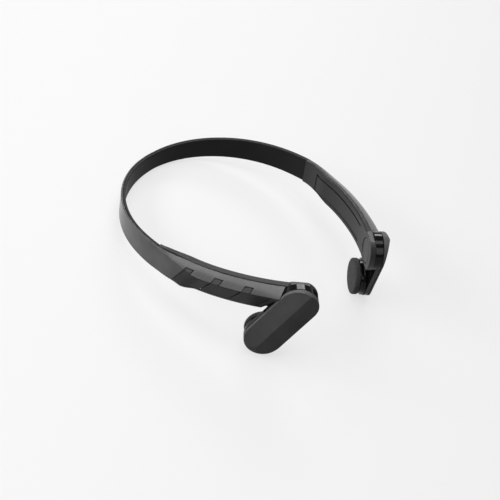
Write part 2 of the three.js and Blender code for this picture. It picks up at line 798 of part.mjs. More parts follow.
const batteryCell = () => block(CELL, frameAt(
  CELL_AT,
  HOUSING_DEPTH - WALL - GAP - CELL[2] / 2,
  CEILING - CELL[1] / 2,
));

function cellBoard() {
  const s = CELL_AT - CELL[0] / 2 - CELL_BOARD[0] / 2 - CELL_SPACE;
  return block(CELL_BOARD, frameAt(s, depthAt(s) - WALL - GAP - CELL_BOARD[2], 0));
}

function contactPin(frame) {
  return disc(CONTACT_RADIUS, BOARD_DEPTH + BOARD[2] / 2 + GAP, HOUSING_DEPTH)
    .applyMatrix4(frame);
}

function chargeMagnet() {
  return block(CHARGE_MAGNET, frameAt(
    CONTACT_AT,
    HOUSING_DEPTH - WALL - GAP - CHARGE_MAGNET[2] / 2,
    CONTACT_HEIGHT,
  ));
}

// ---------------------------------------------------------------- assembly
const group = new THREE.Group();

function add(parent, name, geometry, material) {
  const mesh = new THREE.Mesh(geometry, material);
  mesh.name = name;
  parent.add(mesh);
}

add(group, 'outer_cover', outerCover(), SATIN_BLACK);
add(group, 'band_inner_skin', bandInnerSkin(), MATTE_BLACK);
add(group, 'band_spring', bandSpring(), SPRING_STEEL);
add(group, 'band_flex_cable', bandFlex(), FLEX);

const SIDES = [
  { name: 'left', sign: 1, swing: SWING_LEFT, extras: () => [markingRecess()] },
  { name: 'right', sign: -1, swing: SWING_RIGHT, extras: () => [...contactHoles(), ...buttonSlots()] },
];

const arms = [];
for (const { name, sign, swing, extras } of SIDES) {
  const side = new THREE.Group();
  side.scale.x = sign;
  group.add(side);
  add(side, `${name}_inner_shell`, innerShell(...extras()), MATTE_BLACK);

  const hinge = new THREE.Group();
  hinge.applyMatrix4(HINGE_FRAME);
  side.add(hinge);
  add(hinge, `${name}_hinge_cap`, hingeCap(), MATTE_BLACK);
  add(hinge, `${name}_hinge_washer`, hingeWasher(), NYLON);

  const arm = new THREE.Group();
  arm.rotation.z = -radians(swing);
  hinge.add(arm);
  arms.push(arm);
  add(arm, `${name}_arm_cover`, armCover(), SATIN_BLACK);
  add(arm, `${name}_arm_body`, armBody(), GLOSS_BLACK);
  add(arm, `${name}_hinge_spring`, holdSpring(), SPRING_STEEL);
  add(arm, `${name}_hinge_pin`, hingePin(), STEEL);
  add(arm, `${name}_transducer_ring`, padRing(), GLOSS_BLACK);
  add(arm, `${name}_transducer_yoke`, yoke(), STEEL);
  add(arm, `${name}_transducer_magnet`, magnet(), MAGNET);
  add(arm, `${name}_voice_coil`, voiceCoil(), COPPER);
  add(arm, `${name}_spring_plate`, springPlate(), SPRING_STEEL);
  add(arm, `${name}_contact_pad`, padCap(), PAD_RUBBER);
  add(arm, `${name}_arm_lead`, armLead(), LEAD);
}

// the left housing holds the battery
add(group, 'battery_cell', batteryCell(), FOIL);
add(group, 'battery_board', cellBoard(), BOARD_GREEN);

// the right housing holds the buttons, the main board and the charging contacts
const right = new THREE.Group();
right.scale.x = -1;
group.add(right);
for (let i = 0; i < BUTTON_COUNT; i += 1) {
  add(right, `button_${i + 1}`, buttonSolid(i, 0), GLOSS_BLACK);
  add(right, `switch_${i + 1}`, tactSwitch(i), STEEL);
}
add(right, 'button_membrane', buttonMembrane(), SILICONE);
add(right, 'switch_board', switchBoard(), BOARD_GREEN);
add(right, 'main_board', block(BOARD, frameAt(BOARD_AT, BOARD_DEPTH, BOARD_HEIGHT)), BOARD_GREEN);
add(right, 'radio_module', onBoard(RADIO, RADIO_AT), STEEL);
add(right, 'microphone', onBoard(MICROPHONE, MICROPHONE_AT), GOLD);
add(right, 'charging_contact_rear', contactPin(contactPlaces[0]), GOLD);
add(right, 'charging_contact_front', contactPin(contactPlaces[1]), GOLD);
add(right, 'charging_magnet', chargeMagnet(), MAGNET);

// ---------------------------------------------------------------- rest pose
// on a table it stands on the ends of its two arms and the lower edge of the neckband
function lowest(object) {
  const low = new THREE.Vector3(0, 0, Infinity);
  const point = new THREE.Vector3();
  object.updateWorldMatrix(true, true);
  object.traverse((child) => {
    const { position } = child.isMesh ? child.geometry.attributes : { position: { count: 0 } };
    for (let i = 0; i < position.count; i += 1) {
      point.fromBufferAttribute(position, i).applyMatrix4(child.matrixWorld);
      if (point.z < low.z) {
        low.copy(point);
      }
    }
  });
  return low;
}

const UP = new THREE.Vector3(0, 0, 1);
for (let i = 0; i < 8; i += 1) {
  const back = lowest(group.getObjectByName('outer_cover'));
  const [leftTip, rightTip] = arms.map((arm) => lowest(arm).sub(back));
  const up = rightTip.cross(leftTip).normalize();
  group.applyQuaternion(new THREE.Quaternion().setFromUnitVectors(up, UP));
}
const box = new THREE.Box3().setFromObject(group, true);
const middle = box.getCenter(new THREE.Vector3());
group.position.sub(new THREE.Vector3(middle.x, middle.y, box.min.z));

export default group;
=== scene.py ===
"""Bone conduction headphones: the dressed model, laid out as an add-on that runs as a script.

Sizes in the outlines are millimetres in the headphones' own axes: the wearer looks along -Y, +X is
the wearer's left, and the origin lies midway between the arm hinges. A place on a housing is
(s, o, z): s is the length along the band's outer face from the middle of the neck (+ left), o the
distance inwards and z the height.
"""
import json
import math

import bmesh
import bpy
from mathutils import Matrix, Vector
from mathutils.geometry import tessellate_polygon


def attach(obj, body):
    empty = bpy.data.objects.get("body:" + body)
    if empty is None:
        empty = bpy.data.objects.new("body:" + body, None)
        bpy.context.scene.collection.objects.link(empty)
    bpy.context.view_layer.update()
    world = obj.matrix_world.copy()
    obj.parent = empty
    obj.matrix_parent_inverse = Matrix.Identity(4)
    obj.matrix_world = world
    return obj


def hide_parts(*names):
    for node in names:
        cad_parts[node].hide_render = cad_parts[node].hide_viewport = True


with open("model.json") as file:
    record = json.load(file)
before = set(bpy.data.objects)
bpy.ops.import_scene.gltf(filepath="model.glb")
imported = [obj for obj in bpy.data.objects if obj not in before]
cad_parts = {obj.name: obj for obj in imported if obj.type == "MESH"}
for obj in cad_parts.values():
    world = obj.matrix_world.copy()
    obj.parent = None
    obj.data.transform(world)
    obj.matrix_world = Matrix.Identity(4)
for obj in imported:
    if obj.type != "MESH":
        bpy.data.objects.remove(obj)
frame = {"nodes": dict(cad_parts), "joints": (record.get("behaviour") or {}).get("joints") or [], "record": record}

bl_info = {
    "name": "Bone conduction headphones",
    "version": (1, 0, 0),
    "blender": (4, 5, 0),
    "location": "3D View > Sidebar > Headphones",
    "description": "Builds the visible shells, keys, arms and pads over the packed frame",
    "category": "Add Mesh",
}

# the curve of the band's outer face: radius and turn of each arc, from the neck to the hinges
ARCS = ((60, math.radians(75.6)), (76, math.radians(35.2)), (117, math.radians(26.4)))
HINGE_AT = 169.8
HINGE_HEIGHT = -1.3
SWING = {"left": 20.0, "right": 32.5}  # degrees back from straight down
GAP = 0.3

# band between the housings
BAND_HEIGHT_NECK = 10
BAND_HEIGHT_SIDE = 13.6
BAND_SIDE_AT = 90
BAND_THICKNESS = 2.4
SKIN = 0.7
LINING_EDGE = 0.1
LINING_ROUND = 0.45

# housings: where they start and end
SHELL_START = 94
SHELL_START_DEPTH = 3.2
SHELL_FULL_AT = 113
HOUSING_TOP = 7.6
HOUSING_BOTTOM = 8.4
HOUSING_DEPTH = 6.3

# housings: the cover's slanted face, which stands out most beside the arms
COVER_WALL = 1
SEAM_DEPTH = 3.1
SEAM_DROP = 1.3  # how far the cover's edge lies under the inner shell's top
ROUND_BOTTOM = 2.8  # height of the slanted face's lower end
ROUND_LEAD = 2
ROUND_STEPS = 10
LEAST_ROUND = 0.1
FLATNESS = 0.85  # 0 is a quarter round, 1 a flat slant
BULGE = 1.7
BULGE_FROM = 104
BULGE_AT = 124
LIP_START = 0.5
LIP_AT = 106
FLARE = 3.0
FLARE_FROM = 140
FLARE_AT = 168

# housings: the bevel under the cover's face, which holds the keys
BEVEL_FROM = 110
BEVEL_FULL = 118
KNEE = 2.3  # height at which the bevel begins
BEVEL_DEPTH = 2.8
BEVEL_WALL = 1.3

# housings: the inner shells, with a raised strip along the cover's edge
STRIP_STEP = 1.0
STRIP_LEAD = 1
STRIP_AT = 100
SHELL_EDGE = 0.8
STRIP_FILLET = 0.25
TOP_FILLET = 0.35
LOWER_FILLET = 0.15
WALL = 1.2
TOP_WALL = 1.6
CAVITY_FROM = 103
CAVITY_TO = 150
RECESS_FROM = 104
RECESS_TO = 155
RECESS_TOP = 4.2
RECESS_BOTTOM = -6.4
RECESS_DEPTH = 0.3
GROOVE_DEPTH = 0.85
GROOVE_WIDTH = 1.4
CONTACTS_AT = (131.5, 136.5)
CONTACT_HEIGHT = 2
CONTACT_RADIUS = 1

# hinges
TONGUE_DEPTH = 3.6
TONGUE_EDGE = 0.5
STOP_GAP = 0.4
PIN_RADIUS = 2
PIN_HEAD = 0.5
PIN_HEAD_RADIUS = 3.3
CAP_RADIUS = 6.4
CAP_THICKNESS = 0.8
CAP_EDGE = 0.2
CAP_RIM = 1.1
CAP_DISH = 1.3
CAP_DISH_DEPTH = 0.15
WASHER_RADIUS = 5.5
WASHER_THICKNESS = 0.7

# arms
ARM_RADIUS = 10
ARM_LENGTH = 25.4
ARM_WALL = 1
RIDGE_HEIGHT = 4.1
RIDGE_SHIFT = -0.5
REAR_EDGE = 2.4
FRONT_EDGE = 1.7
CROWN_LENGTH = 6.5
CROWN_STEPS = 24
RIM_EDGE = 0.8
BODY_OUTER = 0.4
BODY_INNER = 1.5
CLOSING_LIP = 0.6
BARREL_PLAY = 0.1  # between the barrel's end and the tongue
YOKE_RADIUS = 7

# pads and their rings
PAD_RADIUS = 9.6
PAD_FACE = 7.8
PAD_WALL = 1.2
PAD_ROUND = 0.9
PAD_LIP = 0.12
PAD_DISH_AT = 0.7
PAD_DISH_START = 0.02
PAD_DISH_DEPTH = 0.06
RING_RADIUS = 9.8
RING_BORE = 7.9
RING_TO = 4.8
RING_GROOVE = 0.6
RING_EDGE = 0.15
RING_CHAMFER = 0.1
RING_STEP_AT = 0.45
RING_PLAY = 0.05

# keys
BUTTON_COUNT = 3
BUTTON_FIRST = 109.7
BUTTON_PITCH = 15.2
BUTTON_SLANT = 0.65
BUTTON_TAB = 3.8
BUTTON_TAB_HEIGHT = 4.3
BUTTON_TAB_STEPS = 6
BUTTON_WALL = 1
BUTTON_LIP = 0.9
SLOT_REACH = (-2, 4)

# spacing of the cuts' sections, and the sides of the turned pieces
KEY_STEP = 1
PANEL_STEP = 1
CUT_STEP = 2
SEGMENTS = 96
FINE_SEGMENTS = 128
HOLE_SEGMENTS = 48
ROOM_STEPS = 48
PAD_STEPS = 10

# where smooth shading stops, in degrees
EDGE_ANGLE = 32
FACET_ANGLE = 20
RING_ANGLE = 40

MIRROR = Matrix.Scale(-1, 4, Vector((1, 0, 0)))


# ---------------------------------------------------------------- the headphones' own axes
def own_axes():
    """The matrix from the headphones' own axes, in millimetres, to the frame."""
    pivots = {joint["name"]: joint for joint in frame["joints"]}
    left, right = pivots["left_arm_pivot"], pivots["right_arm_pivot"]
    side = (Vector(left["pos_m"]) - Vector(right["pos_m"])).normalized()
    back = (Vector(left["axis"]) - Vector(right["axis"])).normalized()
    up = side.cross(back).normalized()
    back = up.cross(side)
    turn = Matrix((side, back, up)).transposed().to_4x4()
    middle = (Vector(left["pos_m"]) + Vector(right["pos_m"])) / 2
    middle -= up * HINGE_HEIGHT / 1000
    return Matrix.Translation(middle) @ turn @ Matrix.Scale(0.001, 4)


OWN = own_axes()


def half_curve(length):
    """Place and heading on the left half of the curve, whose middle is at (0, 0)."""
    x, y, heading, left = 0.0, 0.0, 0.0, length
    for radius, turn in ARCS:
        angle = min(left / radius, turn)
        x += radius * (math.sin(heading + angle) - math.sin(heading))
        y += radius * (math.cos(heading + angle) - math.cos(heading))
        heading += angle
        left -= radius * angle
        if left <= 1e-9:
            return x, y, heading
    return x + left * math.cos(heading), y - left * math.sin(heading), heading


HINGE_Y = half_curve(HINGE_AT)[1]


def point_at(s, o, z):
    x, y, heading = half_curve(abs(s))
    side = -1 if s < 0 else 1
    return Vector((side * (x - o * math.sin(heading)), y - o * math.cos(heading) - HINGE_Y, z))


def curve_frame(s, z):
    """Axes at a place on the left half's outer face: X along the band, Y up, Z inwards."""
    heading = half_curve(s)[2]
    along = Vector((math.cos(heading), -math.sin(heading), 0))
    inwards = Vector((-math.sin(heading), -math.cos(heading), 0))
    turn = Matrix((along, Vector((0, 0, 1)), inwards)).transposed().to_4x4()
    return Matrix.Translation(point_at(s, 0, z)) @ turn


def hinge_frame(side):
    left = curve_frame(HINGE_AT, HINGE_HEIGHT)
    return MIRROR @ left if side == "right" else left


def arm_frame(side):
    return hinge_frame(side) @ Matrix.Rotation(-math.radians(SWING[side]), 4, "Z")


def ramp(s, start, end):
    t = min(max((abs(s) - start) / (end - start), 0), 1)
    return t * t * (3 - 2 * t)


def mix(a, b, t):
    return a + (b - a) * t


# ---------------------------------------------------------------- outlines of the housings
def band_half(s):
    return mix(BAND_HEIGHT_NECK, BAND_HEIGHT_SIDE, min(abs(s) / BAND_SIDE_AT, 1)) / 2


def top_at(s):
    """Height that the cavity's top wall is measured from."""
    return mix(band_half(s), HOUSING_TOP, ramp(s, SHELL_START, LIP_AT))


def edge_at(s):
    """Height of the cover's edge at the seam."""
    return mix(band_half(s), HOUSING_TOP - SEAM_DROP, ramp(s, SHELL_START, SHELL_FULL_AT))


def strip_at(s):
    """Height of the inner shell's top, which stands above the cover's edge."""
    return mix(band_half(s), HOUSING_TOP, ramp(s, SHELL_START - STRIP_LEAD, STRIP_AT))


def bottom_at(s):
    return mix(band_half(s), HOUSING_BOTTOM, ramp(s, LIP_AT, BEVEL_FULL))


def depth_at(s):
    return mix(SHELL_START_DEPTH, HOUSING_DEPTH, ramp(s, SHELL_START, SHELL_FULL_AT))


def stand_out(s):
    """How far the cover's widest edge stands outside the band's curve."""
    flare = min(max((abs(s) - FLARE_FROM) / (FLARE_AT - FLARE_FROM), 0), 1)
    lip = mix(0, LIP_START, ramp(s, SHELL_START, LIP_AT)) + BULGE * ramp(s, BULGE_FROM, BULGE_AT)
    return lip + (FLARE - LIP_START - BULGE) * flare ** 2


def seam_at(s):
    return mix(SKIN, SEAM_DEPTH, ramp(s, SHELL_START, SHELL_FULL_AT))


def wall_at(s):
    return mix(SKIN, COVER_WALL, ramp(s, SHELL_START, LIP_AT))


def round_at(s):
    """Height of the cover's widest edge, where its slanted face ends."""
    return mix(band_half(s) - SKIN / 2, ROUND_BOTTOM, ramp(s, SHELL_START - ROUND_LEAD, BULGE_AT))


def bevel_outer(s):
    return mix(-stand_out(s), BEVEL_DEPTH, ramp(s, BEVEL_FROM, BEVEL_FULL))


def bevel_inner(s):
    lower = BEVEL_DEPTH + BEVEL_WALL
    return mix(wall_at(s) - stand_out(s), lower, ramp(s, BEVEL_FROM, BEVEL_FULL))


def top_round(s, inset, gap):
    """The cover's upper face from the seam down to its side: a flattened quarter round."""
    start, end = seam_at(s) + gap, inset + gap - stand_out(s)
    height = max(edge_at(s) - round_at(s) - inset - gap, LEAST_ROUND)
    points = []
    for i in range(ROUND_STEPS + 1):
        t = i / ROUND_STEPS
        out = mix(math.sin(math.pi / 2 * t), t, FLATNESS)
        up = mix(math.cos(math.pi / 2 * t), 1 - t, FLATNESS)
        points.append((mix(start, end, out), round_at(s) + height * up))
    return points


def cover_section(s):
    out, wall, bottom = -stand_out(s), wall_at(s), bottom_at(s)
    outer = top_round(s, 0, 0) + [(out, KNEE)]
    lower = [(bevel_outer(s), -bottom), (bevel_inner(s), -bottom)]
    inner = [(out + wall, KNEE - BEVEL_WALL / 2)] + top_round(s, wall, 0)[::-1]
    return outer + lower + inner


def filleted(corners, steps=4, most=0.45):
    """A section whose (o, z, radius) corners are rounded, by at most a share of each side."""
    points = []
    for i, (o, z, radius) in enumerate(corners):
        here = Vector((o, z))
        before = Vector(corners[i - 1][:2]) - here
        after = Vector(corners[(i + 1) % len(corners)][:2]) - here
        if not radius:
            points.append((o, z))
            continue
        reach = min(radius, most * before.length, most * after.length)
        a, b = here + before.normalized() * reach, here + after.normalized() * reach
        for k in range(steps + 1):
            t = k / steps
            points.append(tuple(a * (1 - t) ** 2 + here * 2 * t * (1 - t) + b * t * t))
    return points


def shell_section(s, seam):
    top, bottom, depth, wall = strip_at(s), bottom_at(s), depth_at(s), wall_at(s)
    full = ramp(s, SHELL_START, SHELL_FULL_AT)
    edge = mix(SKIN / 2, SHELL_EDGE, full)
    corners = [
        (seam_at(s) + seam, top - mix(0, STRIP_STEP, full), STRIP_FILLET),
        (depth - edge, top, TOP_FILLET),
        (depth, top - edge, TOP_FILLET),
        (depth, SKIN / 2 - bottom, LOWER_FILLET),
        (depth - SKIN / 2, -bottom, LOWER_FILLET),
        (bevel_inner(s) + 2 * GAP, -bottom, 0),
        (wall + GAP - stand_out(s), KNEE - BEVEL_WALL / 2, 0),
    ]
    return filleted(corners) + top_round(s, wall, GAP)[::-1]


def lining_section(s):
    half = band_half(s) - GAP / 2
    near, floor = SKIN + GAP, BAND_THICKNESS - SKIN
    return filleted([
        (near, half, LINING_EDGE),
        (BAND_THICKNESS, half, LINING_ROUND),
        (BAND_THICKNESS, -half, LINING_ROUND),
        (near, -half, LINING_EDGE),
        (near, SKIN - half, 0),
        (floor, SKIN - half, 0),
        (floor, half - SKIN, 0),
        (near, half - SKIN, 0),
    ])


def face_at(s, z):
    """How far inwards the cover's face lies at a height above the knee."""
    row = top_round(s, 0, 0)
    for (o, high), (o_next, low) in zip(row, row[1:]):
        if z >= low:
            return mix(o, o_next, (high - z) / (high - low))
    return -stand_out(s)


def bevel_point(s, z, slant):
    """A point at a height on the cover's face or its bevel; the slant leans it forward."""
    place = s + slant * z
    x, y = bevel_outer(place) + stand_out(place), KNEE + bottom_at(place)
    return face_at(place, z) + x * max(KNEE - z, 0) / y, z, slant * z


# ---------------------------------------------------------------- meshes
def facing_out(mesh):
    bm = bmesh.new()
    bm.from_mesh(mesh)
    bmesh.ops.remove_doubles(bm, verts=bm.verts, dist=1e-5)
    bmesh.ops.recalc_face_normals(bm, faces=bm.faces)
    if bm.calc_volume(signed=True) < 0:
        bmesh.ops.reverse_faces(bm, faces=bm.faces)
    bm.to_mesh(mesh)
    bm.free()
    return mesh


def mesh_of(points, faces):
    mesh = bpy.data.meshes.new("piece")
    mesh.from_pydata([tuple(p) for p in points], [], faces)
    return facing_out(mesh)


def sweep(section, start, end, step):
    """A section of (o, z) points carried along the curve; a third value is a shift along it."""
    count = max(1, math.ceil((end - start) / step))
    points, faces = [], []
    for i in range(count + 1):
        s = start + (end - start) * i / count
        row = section(s)
        points += [point_at(s + (p[2] if len(p) > 2 else 0), p[0], p[1]) for p in row]
    size = len(row)
    for i in range(count):
        for k in range(size):
            a, b = i * size + k, i * size + (k + 1) % size
            faces.append((a, b, b + size, a + size))
    for first, s in ((0, start), (count * size, end)):
        outline = [Vector((p[0], p[1], 0)) for p in section(s)]
        faces += [tuple(first + k for k in face) for face in tessellate_polygon([outline])]
    return mesh_of(points, faces)


def prism(outline, low, high):
    """An outline in X and Y, between two depths along Z."""
    size = len(outline)
    points = [(x, y, z) for z in (low, high) for x, y in outline]
    sides = [(i, (i + 1) % size, (i + 1) % size + size, i + size) for i in range(size)]
    return mesh_of(points, sides + [tuple(range(size)), tuple(range(size, 2 * size))])


def turned(profile, segments=SEGMENTS):
    """A closed profile of (radius, depth) points turned about Z."""
    points, faces, size = [], [], len(profile)
    for i in range(segments):
        angle = 2 * math.pi * i / segments
        points += [(r * math.cos(angle), r * math.sin(angle), z) for r, z in profile]
    for i in range(segments):
        j = (i + 1) % segments
        for k in range(size):
            m = (k + 1) % size
            quad = (i * size + k, i * size + m, j * size + m, j * size + k)
            if profile[k][0] > 0 or profile[m][0] > 0:
                faces.append(quad)
    return mesh_of(points, faces)


def disc(radius, low, high, segments=SEGMENTS):
    return turned([(0, low), (radius, low), (radius, high), (0, high)], segments)


def arc(x, y, radius, start, end, steps):
    angles = [mix(start, end, i / steps) for i in range(steps + 1)]
    return [(x + radius * math.cos(a), y + radius * math.sin(a)) for a in angles]


def moved(mesh, matrix):
    mesh.transform(matrix)
    if matrix.determinant() < 0:
        mesh.flip_normals()
    return mesh


def combine(mesh, *steps):
    """Boolean steps of (operation, mesh), one after another."""
    for operation, other in steps:
        holder = bpy.data.objects.new("holder", mesh)
        tool = bpy.data.objects.new("tool", other)
        for item in (holder, tool):
            bpy.context.scene.collection.objects.link(item)
        modifier = holder.modifiers.new("step", "BOOLEAN")
        modifier.operation = operation
        modifier.solver = "EXACT"
        modifier.object = tool
        depsgraph = bpy.context.evaluated_depsgraph_get()
        mesh = bpy.data.meshes.new_from_object(holder.evaluated_get(depsgraph))
        for item in (holder, tool):
            bpy.data.objects.remove(item)
    return mesh


def place(context, name, mesh, matrix, body, slot, material, nodes=(), angle=EDGE_ANGLE):
    """Puts a finished mesh in the frame as a piece that rides on a body."""
    if not mesh.polygons:
        raise RuntimeError(f"{name} has no faces")
    moved(mesh, OWN @ matrix)
    mesh.name = name
    mesh.shade_smooth()
    mesh.set_sharp_from_angle(angle=math.radians(angle))
    piece = bpy.data.objects.new(name, mesh)
    context.scene.collection.objects.link(piece)
    piece.data.materials.append(material)
    weighted = piece.modifiers.new("weighted_normals", "WEIGHTED_NORMAL")
    weighted.keep_sharp = True
    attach(piece, body)
    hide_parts(*(nodes or (name,)))
    return piece


# ---------------------------------------------------------------- materials
FINISHES = {}


def graph(name):
    """A new material's node tree with its shader, and a function that adds linked nodes."""
    material = bpy.data.materials.new(f"finish_{name}")
    material.use_nodes = True
    FINISHES[name] = material
    tree = material.node_tree
    shader = tree.nodes["Principled BSDF"]

    def add(kind, inputs=None, **settings):
        node = tree.nodes.new(kind)
        for key, value in settings.items():
            setattr(node, key, value)
        for key, value in (inputs or {}).items():
            feed(node, key, value)
        return node

    def feed(node, key, value):
        if isinstance(value, bpy.types.NodeSocket):
            tree.links.new(value, node.inputs[key])
        else:
            node.inputs[key].default_value = value

    return material, shader, add, feed


def moulded(name, color, roughness, grain=0.0, grain_size=0.0003, wear=0.3, gloss_spread=0.06,
            specular=0.5, coat=0.0):
    """Moulded plastic: fine grain, faint flow clouds, rounded and lightly worn edges."""
    edge, tint = 0.00025, 0.25
    material, shader, add, feed = graph(name)
    coords = add("ShaderNodeTexCoord").outputs["Object"]
    clouds = add("ShaderNodeTexNoise", {"Vector": coords, "Scale": 60.0, "Detail": 3.0})
    specks = add("ShaderNodeTexNoise", {"Vector": coords, "Scale": 0.5 / grain_size,
                                        "Detail": 2.0})
    dust = add("ShaderNodeTexNoise", {"Vector": coords, "Scale": 900.0, "Detail": 4.0,
                                      "Roughness": 0.7})
    rounded = add("ShaderNodeBevel", {"Radius": edge}, samples=6)
    plain = add("ShaderNodeNewGeometry").outputs["Normal"]
    turn = add("ShaderNodeVectorMath", {0: rounded.outputs[0], 1: plain}, operation="DOT_PRODUCT")
    worn = add("ShaderNodeMapRange", {"Value": turn.outputs["Value"], "From Min": 0.995,
                                      "From Max": 0.85, "To Max": wear})
    shade = add("ShaderNodeMapRange", {"Value": clouds.outputs["Fac"], "From Min": 0.3,
                                       "From Max": 0.7, "To Min": 1 - tint, "To Max": 1 + tint})
    base = add("ShaderNodeMix", {"Factor": 1.0, "A": (*color, 1.0)}, data_type="RGBA",
               blend_type="MULTIPLY")
    feed(base, 7, shade.outputs["Result"])
    light = add("ShaderNodeMix", {"Factor": worn.outputs["Result"]}, data_type="RGBA")
    feed(light, 6, base.outputs[2])
    feed(light, 7, tuple(min(4 * c + 0.04, 1) for c in color) + (1.0,))
    feed(shader, "Base Color", light.outputs[2])
    haze = add("ShaderNodeMapRange", {"Value": dust.outputs["Fac"], "From Min": 0.35,
                                      "From Max": 0.75, "To Min": roughness - gloss_spread / 2,
                                      "To Max": roughness + gloss_spread})
    feed(shader, "Roughness", haze.outputs["Result"])
    bump = add("ShaderNodeBump", {"Strength": grain, "Distance": 0.00003,
                                  "Height": specks.outputs["Fac"], "Normal": rounded.outputs[0]})
    feed(shader, "Normal", bump.outputs["Normal"])
    feed(shader, "Specular IOR Level", specular)
    feed(shader, "Coat Weight", coat)
    feed(shader, "Coat Roughness", 0.04)
    feed(shader, "Coat Normal", rounded.outputs[0])
    return material


def metal(name, color, roughness, lines=(1.0, 1.0, 12.0), tint=0.12):
    """Turned, rolled or wound metal: fine lines, uneven tarnish and rounded edges."""
    material, shader, add, feed = graph(name)
    coords = add("ShaderNodeTexCoord").outputs["Object"]
    stretch = add("ShaderNodeMapping", {"Vector": coords, "Scale": lines})
    brushed = add("ShaderNodeTexNoise", {"Vector": stretch.outputs[0], "Scale": 1500.0,
                                         "Detail": 3.0})
    tarnish = add("ShaderNodeTexNoise", {"Vector": coords, "Scale": 250.0, "Detail": 4.0})
    shade = add("ShaderNodeMapRange", {"Value": tarnish.outputs["Fac"], "From Min": 0.3,
                                       "From Max": 0.7, "To Min": 1 - tint, "To Max": 1 + tint})
    base = add("ShaderNodeMix", {"Factor": 1.0, "A": (*color, 1.0)}, data_type="RGBA",
               blend_type="MULTIPLY")
    feed(base, 7, shade.outputs["Result"])
    feed(shader, "Base Color", base.outputs[2])
    feed(shader, "Metallic", 1.0)
    rough = add("ShaderNodeMapRange", {"Value": brushed.outputs["Fac"], "From Min": 0.3,
                                       "From Max": 0.7, "To Min": roughness * 0.7,
                                       "To Max": roughness * 1.4})
    feed(shader, "Roughness", rough.outputs["Result"])
    rounded = add("ShaderNodeBevel", {"Radius": 0.0001}, samples=4)
    bump = add("ShaderNodeBump", {"Strength": 0.25, "Distance": 0.00001,
                                  "Height": brushed.outputs["Fac"], "Normal": rounded.outputs[0]})
    feed(shader, "Normal", bump.outputs["Normal"])
    return material


def finishes(settings):
    """Every material of the headphones, made once."""
    moulded("cover_plastic", settings.cover_color, 0.2, grain=0.12, wear=0.03, specular=0.22)
    moulded("key_plastic", settings.key_color, 0.45, grain=0.2, wear=0.03, specular=0.06)
    moulded("arm_plastic", settings.arm_color, 0.45, grain=0.25, wear=0.03, specular=0.08)
    moulded("shell_plastic", settings.shell_color, 0.44, grain=0.35, grain_size=0.00025, wear=0.03,
            specular=0.35)
    moulded("band_lining", settings.lining_color, 0.5, grain=0.5, grain_size=0.0002, wear=0.03,
            specular=0.12)
    moulded("gloss_plastic", settings.gloss_color, 0.12, grain=0.04, wear=0.03, gloss_spread=0.03,
            specular=0.15)
    moulded("pad_rubber", settings.pad_color, 0.62, grain=0.8, grain_size=0.00022, wear=0.1,
            gloss_spread=0.1, specular=0.15)
    moulded("silicone", (0.05, 0.05, 0.052), 0.5, grain=0.3)
    moulded("nylon", (0.62, 0.6, 0.54), 0.42, grain=0.2)
    moulded("lead_insulation", (0.22, 0.012, 0.01), 0.4, grain=0.1)
    moulded("board", (0.006, 0.05, 0.02), 0.3, grain=0.7, grain_size=0.0004, coat=0.4)
    moulded("flex", (0.25, 0.1, 0.02), 0.28, grain=0.3, grain_size=0.0006)
    metal("steel", (0.62, 0.63, 0.64), 0.24)
    metal("spring_steel", (0.42, 0.44, 0.47), 0.3, lines=(12.0, 1.0, 1.0))
    metal("magnet_plating", (0.58, 0.57, 0.55), 0.16, lines=(1.0, 1.0, 1.0))
    metal("copper_winding", (0.72, 0.28, 0.12), 0.3, lines=(1.0, 1.0, 30.0))
    metal("gold_plating", (0.83, 0.56, 0.2), 0.2)
    metal("pouch_foil", (0.6, 0.61, 0.62), 0.36, lines=(2.0, 2.0, 1.0), tint=0.05)


def finish(name):
    if not FINISHES:
        finishes(bpy.context.scene.headphones)
    return FINISHES[name]


# ---------------------------------------------------------------- cutters
def arm_room(depth, side):
    """Everything in front of the housing's end, which the arm's sweep needs."""
    radius, reach = ARM_RADIUS + STOP_GAP, 3 * ARM_LENGTH
    back = math.radians(SWING["right"])
    outline = arc(0, 0, radius, math.pi / 2, math.pi - back, ROOM_STEPS)
    x, y = outline[-1]
    outline += [(x - reach * math.sin(back), y - reach * math.cos(back)), (reach, -reach),
                (reach, radius)]
    return moved(prism(outline, -4 * FLARE, depth), hinge_frame(side))


def button_mesh(index, grow, step):
    """One key on the left half, shrunk where grow is below 0, or its slot where it is above."""
    start = BUTTON_FIRST + index * BUTTON_PITCH + GAP - grow
    end = BUTTON_FIRST + (index + 1) * BUTTON_PITCH - GAP / 2 + grow
    near, far = SLOT_REACH if grow > 0 else (0, BUTTON_WALL)

    def strip(s, top, bottom, steps=1):
        outer = [bevel_point(s, mix(top, bottom, i / steps), BUTTON_SLANT)
                 for i in range(steps + 1)]
        return ([(o + near, z, shift) for o, z, shift in outer]
                + [(o + far, z, shift) for o, z, shift in outer[::-1]])

    def lip(s):
        return BUTTON_LIP - bottom_at(s - BUTTON_SLANT * bottom_at(s)) - grow

    bar = sweep(lambda s: strip(s, KNEE + grow, lip(s)), start, end, step)
    tab = sweep(lambda s: strip(s, BUTTON_TAB_HEIGHT + grow, KNEE - GAP, BUTTON_TAB_STEPS),
                start, start + BUTTON_TAB + 2 * grow, step)
    return combine(bar, ("UNION", tab))


def key_slots():
    return [button_mesh(i, GAP, CUT_STEP) for i in range(BUTTON_COUNT)]


